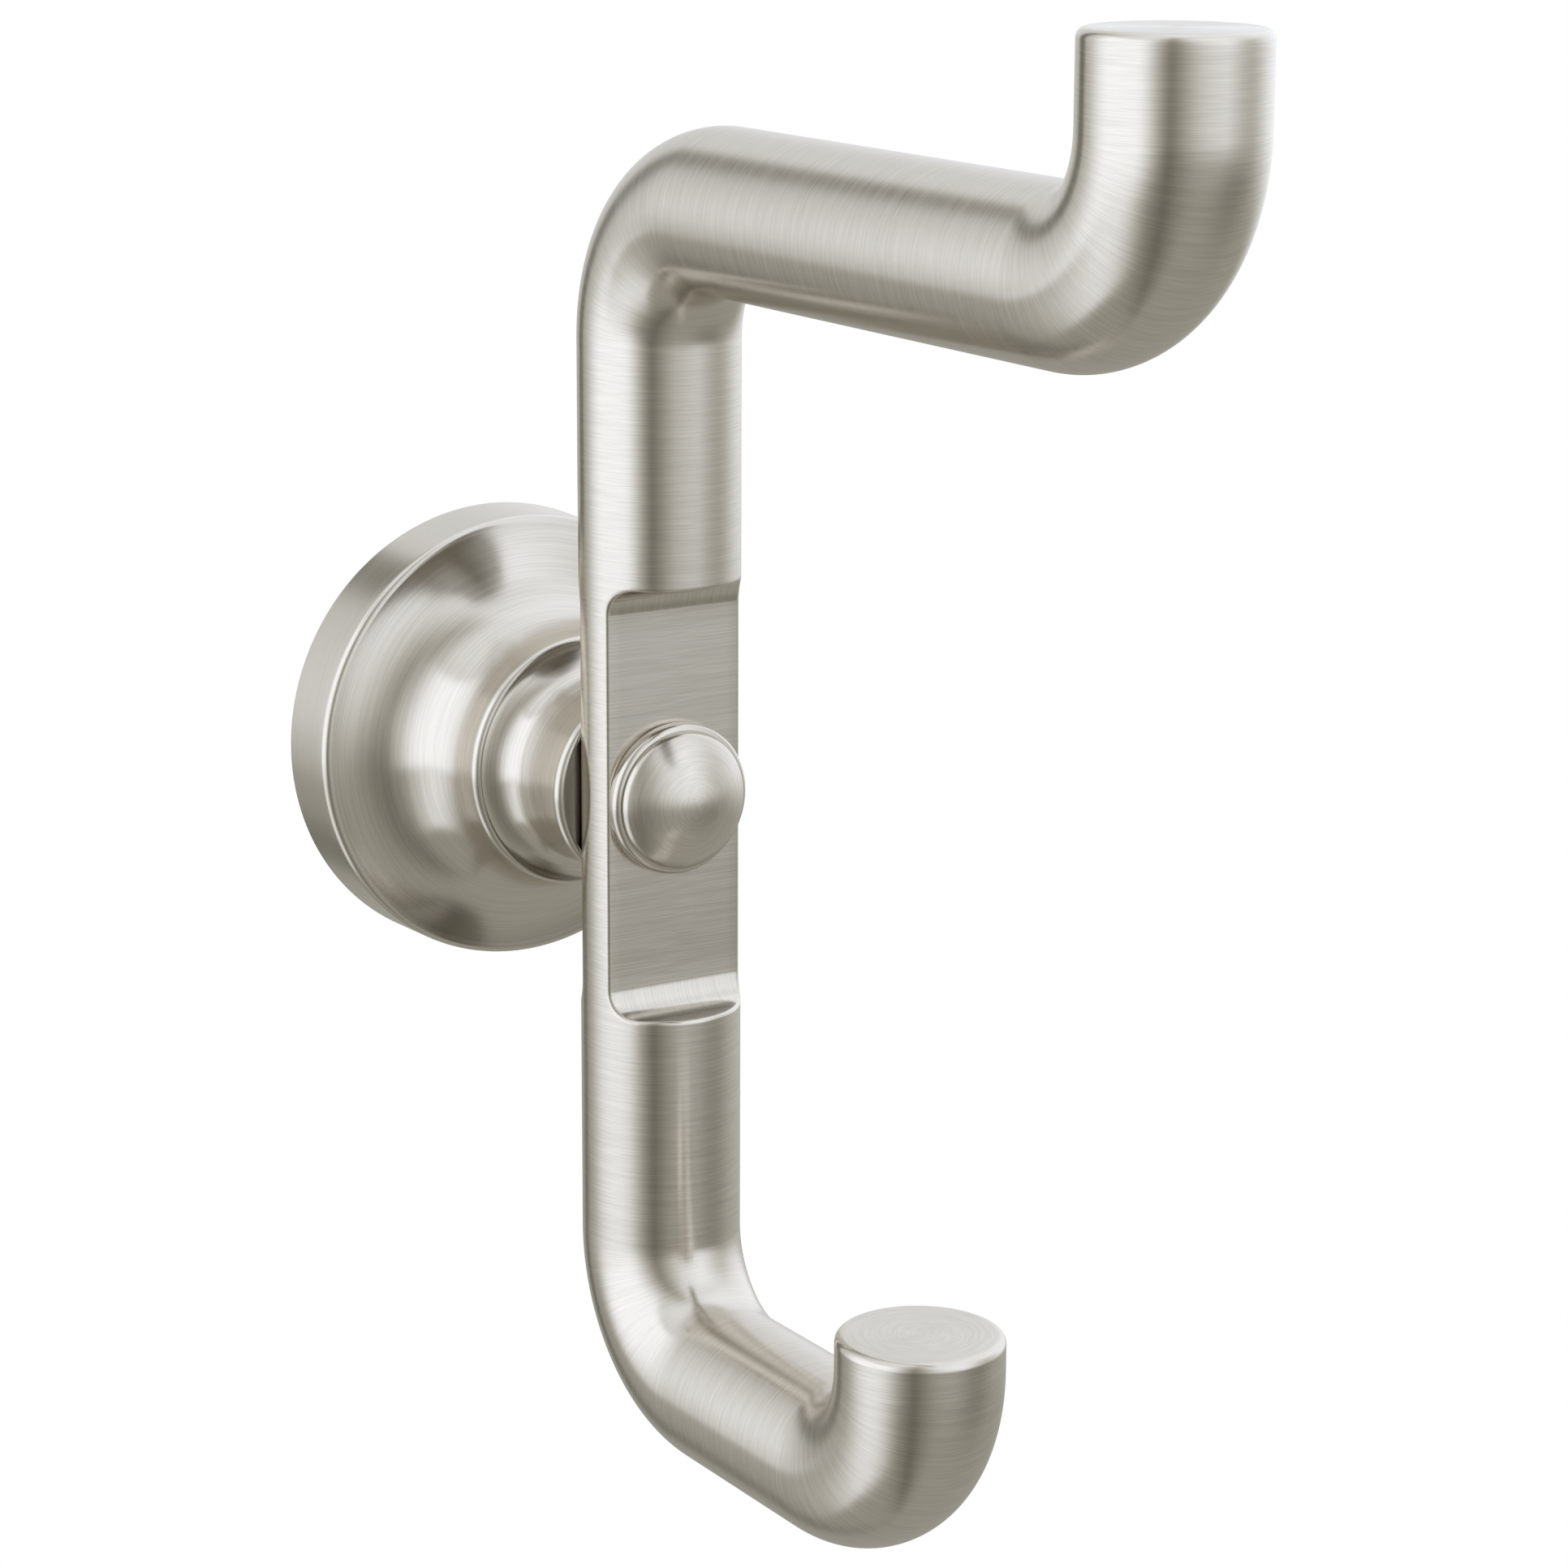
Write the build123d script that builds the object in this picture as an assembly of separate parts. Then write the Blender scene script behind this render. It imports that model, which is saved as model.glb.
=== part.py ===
from build123d import *
from math import cos, radians, sin
import os

# Double robe hook in millimetres. The wall is the plane Y = 0, the hook stands out from it
# toward -Y, Z is up and the origin is the centre of the round base on the wall.
# One round rod is bent into a long upper hook and a short lower hook. Its straight back is
# milled to a flat strap, which a dome-headed nut and a clamp screw hold against the post.
# A reach is a distance from the wall, and a rise is a height above the arm below it.

# Rod
rod_d = 16.0
rod_axis_reach = 35.0
upper_arm_height = 58.65
lower_arm_drop = 58.65
upper_tip_reach = 116.0
lower_tip_reach = 82.15
upper_tip_rise = 21.5
lower_tip_rise = 16.85
bend_radius = 13.4
tip_round = 0.85

# Strap milled into the rod, behind its axis and in front of it
strap_back = 2.7
strap_front = 2.7
strap_half_length = 18.95
cutter_radius = 2.65
strap_edge_round = 0.35

# Escutcheon, the hollow round base. Its collar is straight past the end of the hollow face.
base_wall_d = 47.0
rim_taper = 0.15
rim_reach = 7.5
rim_round = 0.8
face_slope_deg = 5.0
collar_d = 26.0
collar_straight = 2.48
collar_round = 0.72
shell_wall = 2.0
web_thickness = 2.2

# Post between the escutcheon and the strap
post_foot_d = 24.5
post_foot_lip = 0.04
post_foot_slope_deg = 12.0
post_foot_curve = 1.6
post_cove_slope_deg = 38.0
post_neck_d = 19.7
post_head_d = 20.8
post_head_round = 0.75
post_land = 0.12
recess_depth = 0.42
spigot_d = 11.0
spigot_length = 1.8

# Dome-headed nut with its shank, and the collar ring under its head
dome_d = 13.74
dome_rise = 2.79
dome_side = 0.51
dome_edge_round = 0.9
shank_d = 9.0
shank_in_post = 8.0
ring_d = 15.2
ring_thickness = 1.55
ring_edge_round = 0.65
ring_back_round = 0.4

# Clamp screw with a hexagon socket head, and its spring washer
screw_d = 5.0
screw_head_d = 8.5
screw_head_height = 5.0
screw_in_nut = 9.0
screw_socket = 4.0
screw_socket_depth = 2.5
screw_edge_round = 0.4
washer_d = 9.2
washer_thickness = 1.2
washer_split = 0.8
washer_tilt_deg = 20.0

# Wall bracket and the set screw that holds the escutcheon on it
bracket_thickness = 5.0
bracket_edge = 0.6
bracket_relief_d = 19.0
bracket_floor = 2.0
wall_hole_d = 4.5
wall_hole_sink_d = 8.6
wall_hole_margin = 2.0
wall_hole_land = 1.4
set_screw_d = 4.0
set_screw_reach = 3.2
set_screw_sunk = 0.3
set_screw_socket = 2.0
set_screw_socket_depth = 1.6
set_screw_edge = 0.3
dimple_depth = 1.2

# Clearances, on the radius
slide_gap = 0.05
hole_gap = 0.1

# How far a cutting solid runs past the face that it opens
overrun = 1.0

# How near an edge lies to the place where it is looked for
near = 0.01

# Sizes that follow from the driving dimensions
rod_r = rod_d / 2
strap_back_reach = rod_axis_reach - strap_back
strap_front_reach = rod_axis_reach + strap_front
strap_end = strap_half_length + cutter_radius
base_wall_r = base_wall_d / 2
base_face_r = base_wall_r - rim_taper
face_edge_r = base_face_r - rim_round
collar_r = collar_d / 2
bore_r = base_face_r - shell_wall
bracket_r = bore_r - slide_gap
wall_hole_height = bracket_r - wall_hole_margin - wall_hole_sink_d / 2
face_cove_r = (face_edge_r - collar_r) / (1 - sin(radians(face_slope_deg)))
face_cove_end = rim_reach + face_cove_r * cos(radians(face_slope_deg))
collar_reach = face_cove_end + collar_straight
web_back_reach = collar_reach - web_thickness
ring_front_reach = strap_front_reach + ring_thickness
shank_end_reach = strap_back_reach - shank_in_post
screw_tip_reach = shank_end_reach + screw_in_nut
head_face_reach = web_back_reach - washer_thickness


def turned(edges):
    """Revolve a closed outline of (radius, -reach) edges about the Y axis."""
    return revolve(make_face(edges), Axis.Y)


def line(start, end):
    """Return the straight edge between two (radius, reach) points."""
    return Line((start[0], -start[1]), (end[0], -end[1]))


def hollow_arc(start, arc_r, from_deg, to_deg):
    """Return a hollow arc from a (radius, reach) point, and the point where it ends.

    The angles are the surface's slope from the wall's direction: 90 points straight away from it.
    """

    def at(slope_deg):
        """Return the (radius, reach) point of the arc that has one slope."""
        turn_r = sin(radians(from_deg)) - sin(radians(slope_deg))
        turn_reach = cos(radians(from_deg)) - cos(radians(slope_deg))
        return start[0] + arc_r * turn_r, start[1] + arc_r * turn_reach

    middle = at((from_deg + to_deg) / 2)
    end = at(to_deg)
    arc = ThreePointArc((start[0], -start[1]), (middle[0], -middle[1]), (end[0], -end[1]))
    return arc, end


def cove(foot, slope_deg, neck_r):
    """Return a hollow arc from a (radius, reach) foot in to a neck radius.

    At the foot the surface slopes by slope_deg from the wall's direction, and at the neck it
    points straight away from the wall. Also returns the reach where the arc ends.
    """
    arc_r = (foot[0] - neck_r) / (1 - sin(radians(slope_deg)))
    arc, end = hollow_arc(foot, arc_r, slope_deg, 90)
    return arc, end[1]


def pin(radius, reach_from, reach_to, z=0.0):
    """Return a round bar along Y between two distances from the wall."""
    middle = -(reach_from + reach_to) / 2
    return Pos(0, middle, z) * Rot(90, 0, 0) * Cylinder(radius, abs(reach_to - reach_from))


def socket(across, reach_from, reach_to):
    """Return a hexagonal bar along Y, to cut a key socket."""
    plane = Plane((0, -reach_from, 0), z_dir=(0, -1, 0))
    return extrude(plane * RegularPolygon(across / 2, 6, major_radius=False), reach_to - reach_from)


def edges_within(solid, half_height):
    """Return the edges of a solid that lie between two heights about the origin."""
    chosen = []
    for edge in solid.edges():
        box = edge.bounding_box()
        if box.min.Z > -half_height and box.max.Z < half_height:
            chosen.append(edge)
    return chosen


def circles_at(solid, radius, reach):
    """Return the circular edges about the Y axis with one radius at one distance."""
    chosen = []
    for edge in solid.edges().filter_by(GeomType.CIRCLE):
        centre = edge.arc_center
        if abs(centre.X) + abs(centre.Z) < near and abs(centre.Y + reach) < near:
            if abs(edge.radius - radius) < near:
                chosen.append(edge)
    return chosen


def mill_tool(side, flat_reach):
    """Return the solid that mills one flat: side is 1 in front of the rod, -1 behind it."""
    outside = rod_axis_reach + side * (rod_r + overrun)
    corners = [
        (-outside, -strap_end),
        (-flat_reach, -strap_end),
        (-flat_reach, strap_end),
        (-outside, strap_end),
    ]
    profile = make_face(Polyline(corners, close=True).edges())
    inner_corners = [v for v in profile.vertices() if abs(v.X + flat_reach) < near]
    profile = fillet(inner_corners, cutter_radius)
    return extrude(Plane.YZ * profile, rod_r + overrun, both=True)


def make_hook_bar():
    """Bend the rod through its two hooks, mill the strap on both sides and drill it."""
    path = FilletPolyline(
        (0, -lower_tip_reach, -lower_arm_drop + lower_tip_rise),
        (0, -lower_tip_reach, -lower_arm_drop),
        (0, -rod_axis_reach, -lower_arm_drop),
        (0, -rod_axis_reach, upper_arm_height),
        (0, -upper_tip_reach, upper_arm_height),
        (0, -upper_tip_reach, upper_arm_height + upper_tip_rise),
        radius=bend_radius,
    )
    rod = sweep(Plane(path @ 0, z_dir=path % 0) * Circle(rod_r), path)
    rod = fillet(rod.faces().filter_by(GeomType.PLANE).edges(), tip_round)
    rod -= mill_tool(1, strap_front_reach)
    rod -= mill_tool(-1, strap_back_reach)
    lips = [edge for edge in edges_within(rod, strap_end + slide_gap) if not crosses_strap(edge)]
    rod = fillet(lips, strap_edge_round)
    rod -= pin(shank_d / 2 + slide_gap, strap_back_reach - overrun, strap_front_reach + overrun)
    return rod


def crosses_strap(edge):
    """Tell whether an edge runs straight across the strap, where flat, curve and wall meet."""
    return edge.geom_type == GeomType.LINE and abs((edge % 0.5).X) > 1 - near


def make_escutcheon():
    """Turn the hollow base: rim, hollow face, collar and web, with the set screw's hole."""
    rim_side_reach = rim_reach - rim_round
    rim_middle = rim_round * sin(radians(45))
    foot = (face_edge_r, rim_reach)
    outer_cove, outer_end = cove(foot, face_slope_deg, collar_r)
    inner_foot = (bore_r, rim_reach - shell_wall)
    inner_cove, inner_end = cove(inner_foot, face_slope_deg, collar_r - shell_wall)
    hole_r = spigot_d / 2 + slide_gap
    edges = [
        line((base_wall_r, 0), (base_face_r, rim_side_reach)),
        ThreePointArc(
            (base_face_r, -rim_side_reach),
            (face_edge_r + rim_middle, -(rim_side_reach + rim_middle)),
            (face_edge_r, -rim_reach),
        ),
        outer_cove,
        line((collar_r, outer_end), (collar_r, collar_reach)),
        line((collar_r, collar_reach), (hole_r, collar_reach)),
        line((hole_r, collar_reach), (hole_r, web_back_reach)),
        line((hole_r, web_back_reach), (collar_r - shell_wall, web_back_reach)),
        line((collar_r - shell_wall, web_back_reach), (collar_r - shell_wall, inner_end)),
        inner_cove,
        line(inner_foot, (bore_r, 0)),
        line((bore_r, 0), (base_wall_r, 0)),
    ]
    body = turned(edges)
    body = fillet(circles_at(body, collar_r, collar_reach), collar_round)
    hole_length = 2 * (shell_wall + overrun)
    hole = Cylinder(set_screw_d / 2 + slide_gap, hole_length)
    return body - Pos(0, -set_screw_reach, -base_face_r) * hole


def make_post():
    """Turn the post: spigot, foot, cove, neck and head, recessed where the strap crosses."""
    foot_r = post_foot_d / 2
    neck_r = post_neck_d / 2
    head_r = post_head_d / 2
    spigot_r = spigot_d / 2
    foot_top = collar_reach + post_foot_lip
    back_reach = collar_reach - spigot_length
    recess_r = head_r - post_head_round - post_land
    recess_reach = strap_back_reach - recess_depth
    foot_arc, cove_foot = hollow_arc(
        (foot_r, foot_top), post_foot_curve, post_foot_slope_deg, post_cove_slope_deg
    )
    post_cove, cove_end = cove(cove_foot, post_cove_slope_deg, neck_r)
    edges = [
        line((0, back_reach), (spigot_r, back_reach)),
        line((spigot_r, back_reach), (spigot_r, collar_reach)),
        line((spigot_r, collar_reach), (foot_r, collar_reach)),
        line((foot_r, collar_reach), (foot_r, foot_top)),
        foot_arc,
        post_cove,
        line((neck_r, cove_end), (head_r, strap_back_reach)),
        line((head_r, strap_back_reach), (recess_r, strap_back_reach)),
        line((recess_r, strap_back_reach), (recess_r, recess_reach)),
        line((recess_r, recess_reach), (0, recess_reach)),
        line((0, recess_reach), (0, back_reach)),
    ]
    body = turned(edges)
    body = fillet(circles_at(body, head_r, strap_back_reach), post_head_round)
    body -= pin(shank_d / 2 + slide_gap, shank_end_reach - hole_gap, strap_back_reach + overrun)
    return body - pin(screw_d / 2 + hole_gap, back_reach - overrun, strap_back_reach)


def make_collar_ring():
    """Turn the ring that lies on the strap under the nut's head."""
    ring = pin(ring_d / 2, strap_front_reach, ring_front_reach)
    ring = fillet(circles_at(ring, ring_d / 2, ring_front_reach), ring_edge_round)
    ring = fillet(circles_at(ring, ring_d / 2, strap_front_reach), ring_back_round)
    hole_r = shank_d / 2 + slide_gap
    return ring - pin(hole_r, strap_front_reach - overrun, ring_front_reach + overrun)


def make_dome_nut():
    """Turn the nut: a low dome with a round edge, and a shank bored for the clamp screw."""
    dome_r = dome_d / 2
    shank_r = shank_d / 2
    side_reach = ring_front_reach + dome_side
    apex_reach = side_reach + dome_rise
    ball_r = (dome_r**2 + dome_rise**2) / (2 * dome_rise)
    half_r = dome_r / 2
    half_reach = apex_reach - ball_r + (ball_r**2 - half_r**2) ** 0.5
    edges = [
        line((0, shank_end_reach), (shank_r, shank_end_reach)),
        line((shank_r, shank_end_reach), (shank_r, ring_front_reach)),
        line((shank_r, ring_front_reach), (dome_r, ring_front_reach)),
        line((dome_r, ring_front_reach), (dome_r, side_reach)),
        ThreePointArc((dome_r, -side_reach), (half_r, -half_reach), (0, -apex_reach)),
        line((0, apex_reach), (0, shank_end_reach)),
    ]
    nut = turned(edges)
    nut = fillet(circles_at(nut, dome_r, side_reach), dome_edge_round)
    return nut - pin(screw_d / 2 + slide_gap, shank_end_reach - overrun, screw_tip_reach + overrun)


def make_clamp_screw():
    """Make the screw that pulls the nut back through strap, post and web."""
    head_back_reach = head_face_reach - screw_head_height
    head = pin(screw_head_d / 2, head_back_reach, head_face_reach)
    head = fillet(circles_at(head, screw_head_d / 2, head_back_reach), screw_edge_round)
    head -= socket(screw_socket, head_back_reach, head_back_reach + screw_socket_depth)
    body = pin(screw_d / 2, head_face_reach, screw_tip_reach)
    body = chamfer(circles_at(body, screw_d / 2, screw_tip_reach), screw_edge_round)
    return head + body


def make_spring_washer():
    """Make the split washer between the screw's head and the web."""
    washer = pin(washer_d / 2, head_face_reach, web_back_reach)
    washer -= pin(screw_d / 2 + hole_gap, head_face_reach - overrun, web_back_reach + overrun)
    middle = -(head_face_reach + web_back_reach) / 2
    split = Box(washer_split, 2 * (washer_thickness + overrun), washer_d)
    return washer - Pos(0, middle, washer_d / 2) * Rot(0, 0, washer_tilt_deg) * split


def make_wall_bracket():
    """Make the disc that is screwed to the wall and carries the escutcheon."""
    disc = pin(bracket_r, 0, bracket_thickness)
    disc = chamfer(circles_at(disc, bracket_r, bracket_thickness), bracket_edge)
    disc -= pin(bracket_relief_d / 2, bracket_floor, bracket_thickness + overrun)
    for side in (1, -1):
        height = side * wall_hole_height
        disc -= pin(wall_hole_d / 2, -overrun, bracket_thickness + overrun, height)
        disc -= pin(wall_hole_sink_d / 2, wall_hole_land, bracket_thickness + overrun, height)
    dimple = Cylinder(set_screw_d / 2 + slide_gap, 2 * dimple_depth)
    return disc - Pos(0, -set_screw_reach, -bracket_r) * dimple


def make_set_screw():
    """Make the headless screw that goes up through the rim into the bracket's dimple."""
    top = -bracket_r + dimple_depth
    bottom = -base_face_r + set_screw_sunk
    screw = Pos(0, -set_screw_reach, (top + bottom) / 2) * Cylinder(set_screw_d / 2, top - bottom)
    screw = chamfer(screw.faces().sort_by(Axis.Z)[-1].edges(), set_screw_edge)
    key = RegularPolygon(set_screw_socket / 2, 6, major_radius=False)
    return screw - extrude(Pos(0, -set_screw_reach, bottom) * key, set_screw_socket_depth)


if __name__ == "__main__":
    os.makedirs("parts", exist_ok=True)
    nodes = {
        "wall_bracket": make_wall_bracket(),
        "escutcheon": make_escutcheon(),
        "set_screw": make_set_screw(),
        "post": make_post(),
        "spring_washer": make_spring_washer(),
        "clamp_screw": make_clamp_screw(),
        "hook_bar": make_hook_bar(),
        "collar_ring": make_collar_ring(),
        "dome_nut": make_dome_nut(),
    }
    for name, solid in nodes.items():
        export_step(solid, f"parts/{name}.step")
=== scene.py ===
"""Dress the double robe hook in brushed satin nickel and light it as a small studio does.

Lengths of the hook are millimetres in the part's own frame: the wall is the plane Y = 0, the hook
stands out toward -Y and Z is up. A reach is a distance from the wall, and r stands for a radius.
"""

import logging
from dataclasses import dataclass, field
from enum import Enum
from math import atan2, cos, inf, pi, radians, sin, sqrt, tau

import bpy
import numpy as np
from mathutils import Matrix, Vector


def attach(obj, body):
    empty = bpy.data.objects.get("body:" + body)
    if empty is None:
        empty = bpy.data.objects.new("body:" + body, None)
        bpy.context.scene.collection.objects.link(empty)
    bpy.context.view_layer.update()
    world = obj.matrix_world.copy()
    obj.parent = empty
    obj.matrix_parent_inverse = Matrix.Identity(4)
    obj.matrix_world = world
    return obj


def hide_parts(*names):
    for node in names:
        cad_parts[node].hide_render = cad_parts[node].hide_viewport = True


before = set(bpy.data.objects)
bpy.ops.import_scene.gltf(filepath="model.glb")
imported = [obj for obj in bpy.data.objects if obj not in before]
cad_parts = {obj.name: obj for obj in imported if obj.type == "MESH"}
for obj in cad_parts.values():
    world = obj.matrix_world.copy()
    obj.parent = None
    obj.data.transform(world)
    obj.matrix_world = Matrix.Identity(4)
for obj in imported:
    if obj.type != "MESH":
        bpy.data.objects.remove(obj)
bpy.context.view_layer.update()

LOG = logging.getLogger("robe_hook")
MM = 0.001  # metres in a millimetre
BODY = "root"
NEAR = 1e-6  # millimetres that count as no distance
SMALL_STEP = 0.02  # least step along a profile next to a rounded edge
HOLLOW_STEP = 0.18  # length of one chord of a hollow arc
HOLLOW_CHORDS = (8, 60)  # fewest and most chords of such an arc
HALVINGS = 40  # steps of a search by halving
TURN_LENGTH = 50.0  # length that counts as a full turn of straight brush lines
WHITE = (1.0, 1.0, 1.0, 1.0)


# shapes
@dataclass
class Surface:
    """One closed grid of points, with the brush coordinates that its finish reads.

    Attributes:
        points: (rows, columns, 3) array of millimetres; the last column joins the first.
        across: (rows,) path length in millimetres, measured across the brush lines.
        loop: True where the last row joins the first one again.
        first_pole: Point that closes the first row, or None.
        last_pole: Point that closes the last row, or None.
        finish: (rows - 1, columns) array of material numbers, or None for all 0.
    """

    points: np.ndarray
    across: np.ndarray
    loop: bool = False
    first_pole: np.ndarray | None = None
    last_pole: np.ndarray | None = None
    finish: np.ndarray | None = None


def arc_points(
    centre: tuple[float, float], radius: float, start: float, end: float, steps: int
) -> np.ndarray:
    """Return points of an arc in a plane: centre plus radius times (cosine, sine) of the angle.

    Args:
        centre: Middle of the arc.
        radius: Its radius.
        start: First angle in degrees.
        end: Last angle in degrees.
        steps: Number of chords.

    Returns:
        (steps + 1, 2) array.
    """
    angle = np.radians(np.linspace(start, end, steps + 1))
    return np.stack(
        [centre[0] + radius * np.cos(angle), centre[1] + radius * np.sin(angle)], axis=1
    )


def hollow_points(
    start: tuple[float, float], radius: float, from_slope: float, to_slope: float
) -> np.ndarray:
    """Return a hollow arc of (radius, reach) points from a start.

    A slope of 0 degrees lies parallel to the wall, and one of 90 points straight away from it.

    Args:
        start: Its first point.
        radius: Radius of the arc.
        from_slope: Slope at its start.
        to_slope: Slope at its end.

    Returns:
        (chords + 1, 2) array.
    """
    a, b = radians(from_slope), radians(to_slope)
    centre = (start[0] + radius * sin(a), start[1] + radius * cos(a))
    chords = int(np.clip(round(radius * (b - a) / HOLLOW_STEP), *HOLLOW_CHORDS))
    return arc_points(centre, radius, 270 - from_slope, 270 - to_slope, chords)


def rounded_corner(
    corner: tuple[float, float], radius: float, lean: float, steps: int = 14
) -> np.ndarray:
    """Return the arc that rounds a corner between a leaning side and a level top.

    Args:
        corner: The sharp corner's radius and reach.
        radius: Radius of the arc.
        lean: Angle in radians by which the side leans outward.
        steps: Number of chords.

    Returns:
        Points from the side to the top.
    """
    inset = radius * (cos(lean) + sin(lean) * (1 + sin(lean)) / cos(lean))
    centre = (corner[0] - inset, corner[1] - radius)
    return arc_points(centre, radius, -np.degrees(lean), 90, steps)


def straight_points(
    start: tuple[float, float], end: tuple[float, float], steps: int
) -> np.ndarray:
    """Return evenly spaced points of a straight run, both ends included."""
    share = np.linspace(0.0, 1.0, steps + 1)[:, None]
    return np.array(start) * (1 - share) + np.array(end) * share


def join_profile(*runs: np.ndarray) -> np.ndarray:
    """Chain the runs of a profile and drop each point that repeats the one before it.

    Args:
        runs: Arrays of points, in order.

    Returns:
        One array of points.
    """
    chain = np.concatenate(runs)
    step = np.linalg.norm(np.diff(chain, axis=0), axis=1)
    return chain[np.concatenate([[True], step > 10 * NEAR])]


def corner_points(corners: list[tuple[float, float]], steps: tuple[int, ...]) -> np.ndarray:
    """Return straight runs from corner to corner, each with its own number of steps."""
    runs = zip(corners, corners[1:], steps)
    return join_profile(*(straight_points(start, end, count) for start, end, count in runs))


def quarter_angles(steps: int) -> np.ndarray:
    """Return even angles from 0 to a quarter turn, in radians."""
    return np.radians(np.linspace(0, 90, steps + 1))


def path_length(points: np.ndarray) -> np.ndarray:
    """Return the running length along a chain of points: the sum of its chords so far."""
    step = np.linalg.norm(np.diff(points, axis=0), axis=1)
    return np.concatenate([[0.0], np.cumsum(step)])


def turn_profile(
    profile: np.ndarray, columns: int, loop: bool, poles: tuple[bool, bool] = (False, False)
) -> Surface:
    """Carry a (radius, reach) profile round the Y axis.

    A point is (radius * cos a, -reach, radius * sin a) for the angle a of its column.

    Args:
        profile: (rows, 2) array of radius and reach.
        columns: Number of steps round the axis.
        loop: True for a profile that closes on itself.
        poles: Whether the first and the last point lie on the axis.

    Returns:
        The surface, whose brush lines run round the axis.
    """
    angle = np.linspace(0.0, tau, columns, endpoint=False)
    kept = slice(int(poles[0]), len(profile) - int(poles[1]))
    body, across = profile[kept], path_length(profile)[kept]
    radius, reach = body[:, 0, None], body[:, 1, None]
    points = np.stack(
        [
            radius * np.cos(angle),
            np.broadcast_to(-reach, (len(body), columns)),
            radius * np.sin(angle),
        ],
        axis=2,
    )
    first = np.array([0.0, -profile[0, 1], 0.0]) if poles[0] else None
    last = np.array([0.0, -profile[-1, 1], 0.0]) if poles[1] else None
    return Surface(points, across, loop, first, last)


def grid_cells(surface: Surface) -> tuple[np.ndarray, np.ndarray]:
    """Return the quads of a surface's grid and their map, corner by corner.

    A quad joins two neighbours in one row with the same two columns of the next row.

    Args:
        surface: The grid and its brush coordinates.

    Returns:
        (cells, 4) array of vertex numbers and (cells, 4, 2) array of map values: the share of a
        turn along the brush lines, and the millimetres across them.
    """
    rows, columns = surface.points.shape[:2]
    cells = rows if surface.loop else rows - 1
    row = np.arange(cells)[:, None]
    col = np.arange(columns)[None, :]
    near, far = row * columns, ((row + 1) % rows) * columns
    side = (col + 1) % columns
    quads = np.stack([near + col, near + side, far + side, far + col], axis=2).reshape(-1, 4)
    share = np.stack([col, col + 1, col + 1, col], axis=2) / columns
    share = np.broadcast_to(share, (cells, columns, 4)).reshape(-1, 4)
    after = np.append(surface.across, surface.across[-1] + surface.across[1])
    low = np.broadcast_to(after[:cells, None], (cells, columns)).ravel()
    high = np.broadcast_to(after[1 : cells + 1, None], (cells, columns)).ravel()
    return quads, np.stack([share, np.stack([low, low, high, high], axis=1)], axis=2)


def pole_fan(
    surface: Surface, pole: np.ndarray, tip: int, first: bool
) -> tuple[np.ndarray, np.ndarray]:
    """Return the triangles that close one end of a grid in a pole.

    Args:
        surface: The grid.
        pole: The pole's place.
        tip: The pole's number among the vertices.
        first: True for the end of the first row, False for the end of the last.

    Returns:
        The triangles and their map, corner by corner.
    """
    rows, columns = surface.points.shape[:2]
    base, turn = (0, 1) if first else (rows - 1, -1)
    col = np.arange(columns)
    ring, ahead = base * columns + col, base * columns + (col + 1) % columns
    fan = np.stack([np.full(columns, tip), ahead, ring], axis=1)
    u = np.stack([col + 0.5, col + 1, col], axis=1) / columns
    edge = surface.across[base]
    centre = edge - turn * np.linalg.norm(surface.points[base, 0] - pole)
    v = np.broadcast_to([centre, edge, edge], (columns, 3))
    mapped = np.stack([u, v], axis=2)
    return (fan, mapped) if first else (fan[:, ::-1], mapped[:, ::-1])


def signed_volume(corner: np.ndarray) -> float:
    """Return six times the volume that quads enclose: the sum of their triple products."""
    return sum(
        np.einsum("ij,ij->", corner[:, 0], np.cross(corner[:, k], corner[:, k + 1]))
        for k in (1, 2)
    )


def build_piece(
    name: str, surface: Surface, finishes: list[bpy.types.Material], sharp: float = 35.0
) -> bpy.types.Object:
    """Put a surface's grid into a mesh object at the origin.

    Each cell of the grid is one face. Its map has the share of a turn along the brush lines as u
    and the millimetres across them as v, so that a finish can follow the surface.

    Args:
        name: Name of the piece.
        surface: The grid and its brush coordinates.
        finishes: Materials, in the order of the surface's material numbers.
        sharp: Angle in degrees from which an edge stays sharp.

    Returns:
        The new object, linked to the scene.
    """
    quads, mapped = grid_cells(surface)
    vertices = surface.points.reshape(-1, 3)
    numbers = np.zeros(len(quads), int) if surface.finish is None else surface.finish.ravel()
    faces, maps = [quads], [mapped]
    for pole, first in ((surface.first_pole, True), (surface.last_pole, False)):
        if pole is not None:
            fan, mapped = pole_fan(surface, pole, len(vertices), first)
            vertices = np.vstack([vertices, pole])
            faces.append(fan)
            maps.append(mapped)
            numbers = np.concatenate([numbers, np.zeros(len(fan), int)])
    if signed_volume(vertices[quads]) < 0:
        faces = [group[:, ::-1] for group in faces]
        maps = [mapped[:, ::-1] for mapped in maps]
    mesh = bpy.data.meshes.new(name)
    mesh.from_pydata((vertices * MM).tolist(), [], [f for group in faces for f in group.tolist()])
    brush = mesh.uv_layers.new(name="brush")
    corners = np.concatenate([mapped.reshape(-1, 2) for mapped in maps])
    brush.uv.foreach_set("vector", corners.astype(np.float32).ravel())
    for material in finishes:
        mesh.materials.append(material)
    mesh.polygons.foreach_set("material_index", numbers.astype(np.int32))
    mesh.polygons.foreach_set("use_smooth", np.ones(len(mesh.polygons), bool))
    mesh.set_sharp_from_angle(angle=radians(sharp))
    mesh.update()
    piece = bpy.data.objects.new(name, mesh)
    bpy.context.scene.collection.objects.link(piece)
    LOG.info("%s: %d points, %d faces", name, len(mesh.vertices), len(mesh.polygons))
    return piece


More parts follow.
